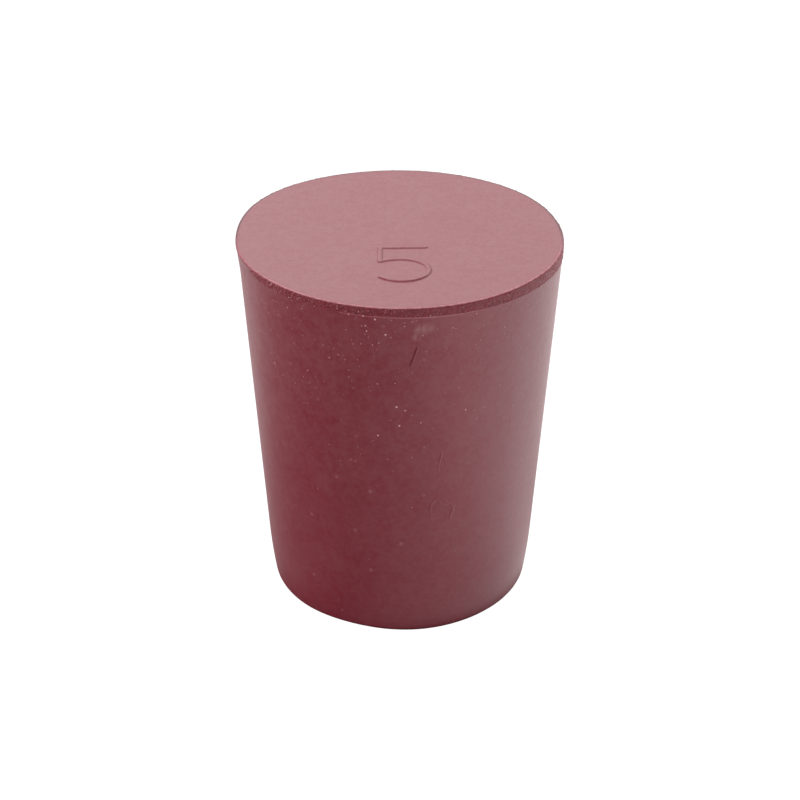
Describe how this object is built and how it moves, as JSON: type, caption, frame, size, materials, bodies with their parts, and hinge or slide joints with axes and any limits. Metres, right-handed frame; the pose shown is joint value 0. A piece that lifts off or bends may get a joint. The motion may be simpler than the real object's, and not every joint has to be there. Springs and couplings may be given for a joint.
{
  "type": "rubber stopper",
  "caption": "Solid tapered stopper in dark red rubber, large end up, with a trimmed rim band and a rounded foot.",
  "frame": {"origin": "centre of the small end's face, on the axis of the taper", "axes": "+Z along the axis, from the small end up to the large end; -Y is the side that faces a reader of the size number; +X is the side where the trimmed band is tallest"},
  "size_m": [0.024, 0.024, 0.0288],
  "materials": {
    "rubber": "satin dark red on the side, dull with bloom on the large end"
  },
  "bodies": {
    "root": {"stopper": "rubber"}
  },
  "joints": []
}
